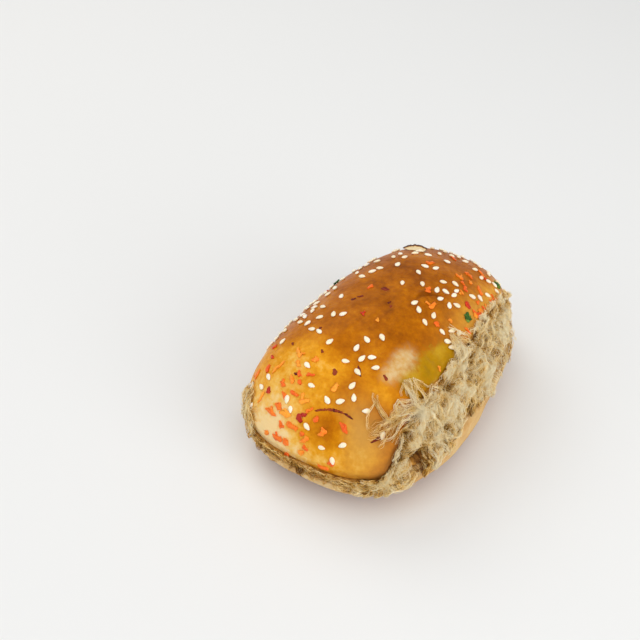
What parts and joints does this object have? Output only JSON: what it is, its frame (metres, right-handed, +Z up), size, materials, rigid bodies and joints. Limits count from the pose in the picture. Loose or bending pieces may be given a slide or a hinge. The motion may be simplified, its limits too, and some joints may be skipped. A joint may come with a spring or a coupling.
{
  "type": "pork floss bun",
  "caption": "Oval golden milk-bread bun, split and filled with shredded pork floss that swells out along one side, with sesame, carrot and herb bits on its glazed top.",
  "frame": {"origin": "centre of the bounding box in plan, at the level of the flat underside", "axes": "+Z up; +Y along the length of the bun, towards its slightly narrower end; +X towards the side where the floss swells out"},
  "size_m": [0.0834, 0.129, 0.0571],
  "materials": {
    "soft_bread_side": "matte tan skin of soft bread",
    "egg_glazed_crust": "baked egg glaze, brown to pale gold, satin to glossy",
    "dry_pork_floss": "dry pale tan shredded meat fibres"
  },
  "bodies": {
    "root": {"bun_base": "soft_bread_side", "bun_top": "egg_glazed_crust", "pork_floss": "dry_pork_floss"}
  },
  "joints": []
}
